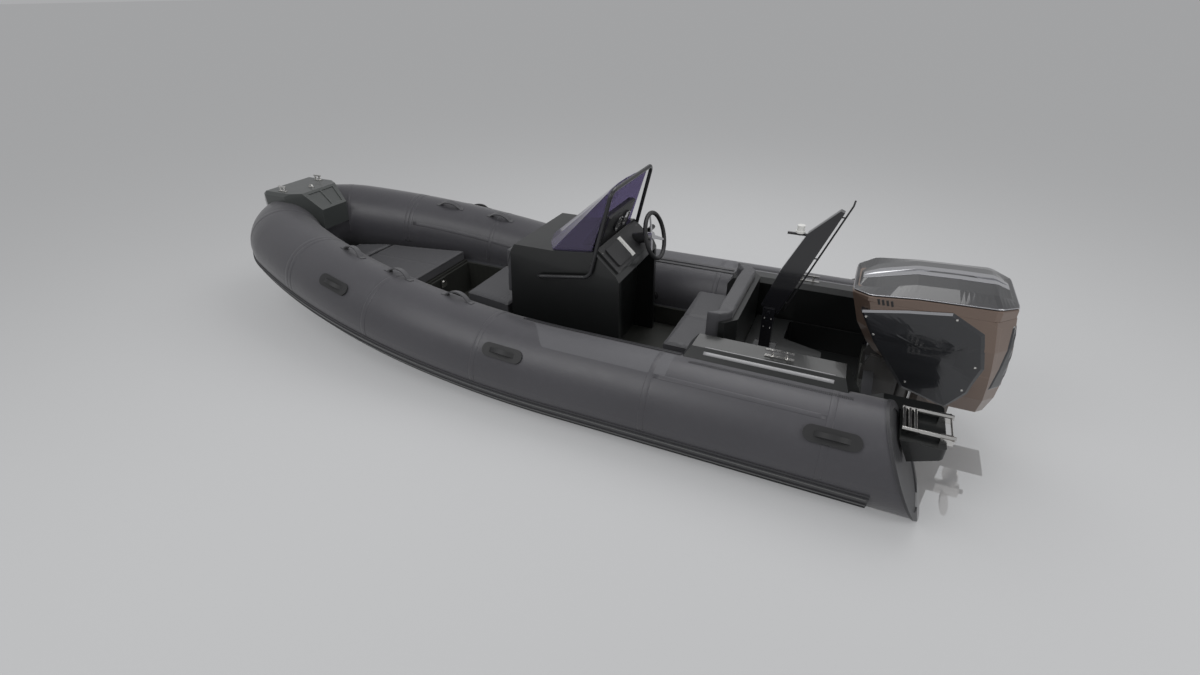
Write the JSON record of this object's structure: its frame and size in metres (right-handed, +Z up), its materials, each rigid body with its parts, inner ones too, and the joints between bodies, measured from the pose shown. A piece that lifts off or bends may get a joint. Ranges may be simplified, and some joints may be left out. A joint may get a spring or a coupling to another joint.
{
  "type": "rigid inflatable boat",
  "caption": "Rigid inflatable boat with console, windscreen, helm bench, bow locker, raked mast, boarding ladder and an outboard engine that tilts and steers.",
  "frame": {"origin": "on the centreline at the waterline, on the aft face of the transom", "axes": "+X forward, +Y to port, +Z up"},
  "size_m": [5.54, 1.95, 1.9445],
  "materials": {
    "tube_fabric": "matt coated fabric",
    "strake_rubber": "matt",
    "trim_grey": "matt",
    "gelcoat_hull": "gloss gelcoat",
    "gelcoat_deck": "satin gelcoat",
    "gelcoat_black": "gloss gelcoat",
    "upholstery": "satin coated cloth",
    "screen_tint": "tinted",
    "black_tube": "satin powder coat",
    "mast_black": "gloss",
    "dash_black": "satin",
    "gauge_glass": "gloss",
    "switch_white": "satin",
    "light_white": "gloss",
    "stainless": "polished",
    "spoke_aluminium": "brushed",
    "grip_black": "satin",
    "engine_leg": "satin",
    "bracket_grey": "satin",
    "cowl_bronze": "metallic",
    "cowl_dark": "metallic gloss",
    "cowl_panel": "satin",
    "propeller_steel": "polished"
  },
  "bodies": {
    "boat": {"collar_port": "tube_fabric", "collar_starboard": "tube_fabric", "collar_bow": "tube_fabric", "tube_end_caps": "tube_fabric", "rub_strake": "strake_rubber", "tube_top_strips": "trim_grey", "grab_handles": "trim_grey", "carry_handles": "strake_rubber", "tube_valves": "strake_rubber", "hull": "gelcoat_hull", "hull_sides": "gelcoat_hull", "deck_liner": "gelcoat_deck", "transom": "gelcoat_hull", "bow_step": "gelcoat_deck", "bow_cleats": "stainless", "bow_eye": "stainless", "bow_locker": "gelcoat_deck", "locker_latch": "dash_black", "bow_cushion_fore": "upholstery", "console": "gelcoat_black", "console_seat": "gelcoat_deck", "console_seat_cushion": "upholstery", "console_front_pad": "upholstery", "windscreen": "screen_tint", "screen_rail": "black_tube", "dash_panel": "dash_black", "instrument_pod": "dash_black", "gauges": "gauge_glass", "switch_panel": "switch_white", "throttle_control": "dash_black", "steering_column": "dash_black", "bench_base": "gelcoat_deck", "bench_backrest": "upholstery", "backrest_shell": "gelcoat_black", "stern_moulding_port": "gelcoat_black", "stern_moulding_starboard": "gelcoat_black", "stern_cleats": "stainless", "aft_deck": "gelcoat_deck", "swim_platforms": "gelcoat_black", "ladder_bracket": "stainless", "mast_bracket": "black_tube", "clamp_bracket": "bracket_grey"},
    "bow_hatch": {"bow_lid": "gelcoat_deck", "bow_cushion_aft": "upholstery"},
    "bench_hatch": {"bench_lid": "gelcoat_deck", "bench_cushion": "upholstery"},
    "glovebox": {"glovebox_door": "dash_black"},
    "helm": {"wheel_rim": "grip_black", "wheel_spokes": "spoke_aluminium"},
    "mast": {"mast": "mast_black", "mast_light": "light_white"},
    "ladder": {"ladder": "stainless"},
    "swivel": {"swivel_bracket": "bracket_grey"},
    "engine": {"steering_yoke": "engine_leg", "midsection": "engine_leg", "gearcase": "engine_leg", "cowl_frame": "cowl_bronze", "cowl_crown": "cowl_dark", "cowl_side_panels": "cowl_panel"},
    "propeller": {"propeller": "propeller_steel"}
  },
  "joints": [
    {"name": "engine_tilt", "type": "hinge", "parent": "boat", "child": "swivel", "pos_m": [-0.04, 0, 0.398], "axis": [0, 1, 0], "range_deg": [0, 65]},
    {"name": "engine_steer", "type": "hinge", "parent": "swivel", "child": "engine", "pos_m": [-0.168, 0, 0.208], "axis": [0, 0, 1], "range_deg": [-30, 30]},
    {"name": "propeller_spin", "type": "hinge", "parent": "engine", "child": "propeller", "pos_m": [-0.569, 0, -0.452], "axis": [1, 0, 0], "continuous": true},
    {"name": "wheel_turn", "type": "hinge", "parent": "boat", "child": "helm", "pos_m": [1.449, -0.15, 0.852], "axis": [0.9598, 0, -0.2807], "range_deg": [-720, 720]},
    {"name": "mast_fold", "type": "hinge", "parent": "boat", "child": "mast", "pos_m": [0.64, 0, 0.543], "axis": [0, 1, 0], "range_deg": [0, 52]},
    {"name": "ladder_swing", "type": "hinge", "parent": "boat", "child": "ladder", "pos_m": [-0.365, 0.56, 0.38], "axis": [0, -1, 0], "range_deg": [0, 250]},
    {"name": "bow_hatch_hinge", "type": "hinge", "parent": "boat", "child": "bow_hatch", "pos_m": [3.855, 0, 0.398], "axis": [0, 1, 0], "range_deg": [0, 75]},
    {"name": "bench_hatch_hinge", "type": "hinge", "parent": "boat", "child": "bench_hatch", "pos_m": [1.175, 0, 0.302], "axis": [0, 1, 0], "range_deg": [0, 90]},
    {"name": "glovebox_hinge", "type": "hinge", "parent": "boat", "child": "glovebox", "pos_m": [1.5275, 0.15, 0.7831], "axis": [0, -1, 0], "range_deg": [0, 95]}
  ],
  "couplings": [
    {"joint": "wheel_turn", "follows": "engine_steer", "ratio": 24}
  ]
}
